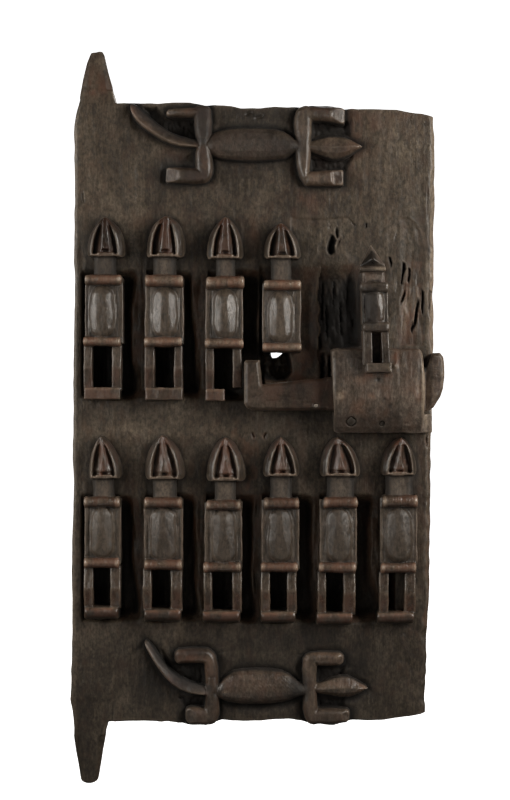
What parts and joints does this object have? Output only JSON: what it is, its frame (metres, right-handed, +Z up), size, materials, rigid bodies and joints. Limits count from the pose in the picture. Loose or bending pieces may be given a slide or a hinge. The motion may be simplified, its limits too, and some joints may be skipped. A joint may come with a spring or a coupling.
{
  "type": "carved granary door with wooden tumbler lock",
  "caption": "Carved plank door that turns on two pintles cut in its edge, with rows of figures and crocodiles in relief, and a sliding wooden bolt in a tumbler lock case nailed to its face.",
  "frame": {"origin": "tip of the lower pintle, on the hinge axis", "axes": "+Z up the hinge axis through both pintle tips, +X across the door away from the hinge edge, +Y out of the flat back (the carved face looks along -Y)"},
  "size_m": [0.4445, 0.092, 0.8846],
  "materials": {
    "carved_wood": "old dark brown hardwood, worn satin",
    "lock_wood": "old dark brown hardwood, handled smooth",
    "bolt_wood": "old grey-brown hardwood, handled smooth",
    "pin_iron": "dull forged iron",
    "nail_iron": "dull forged iron, lightly rusted"
  },
  "bodies": {
    "door": {"door_plank": "carved_wood", "lock_case": "lock_wood", "case_nail_lower_left": "nail_iron", "case_nail_lower_right": "nail_iron", "case_nail_back_left": "nail_iron", "case_nail_back_right": "nail_iron"},
    "bolt": {"lock_bolt": "bolt_wood", "bolt_nail": "nail_iron"},
    "tumbler_left": {"tumbler_pin_left": "pin_iron"},
    "tumbler_middle": {"tumbler_pin_middle": "pin_iron"},
    "tumbler_right": {"tumbler_pin_right": "pin_iron"}
  },
  "joints": [
    {"name": "bolt_slide", "type": "slide", "parent": "door", "child": "bolt", "axis": [1, 0, 0], "range_m": [0, 0.082]},
    {"name": "tumbler_left_lift", "type": "slide", "parent": "door", "child": "tumbler_left", "axis": [0, 0, 1], "range_m": [0, 0.005]},
    {"name": "tumbler_middle_lift", "type": "slide", "parent": "door", "child": "tumbler_middle", "axis": [0, 0, 1], "range_m": [0, 0.005]},
    {"name": "tumbler_right_lift", "type": "slide", "parent": "door", "child": "tumbler_right", "axis": [0, 0, 1], "range_m": [0, 0.005]}
  ]
}
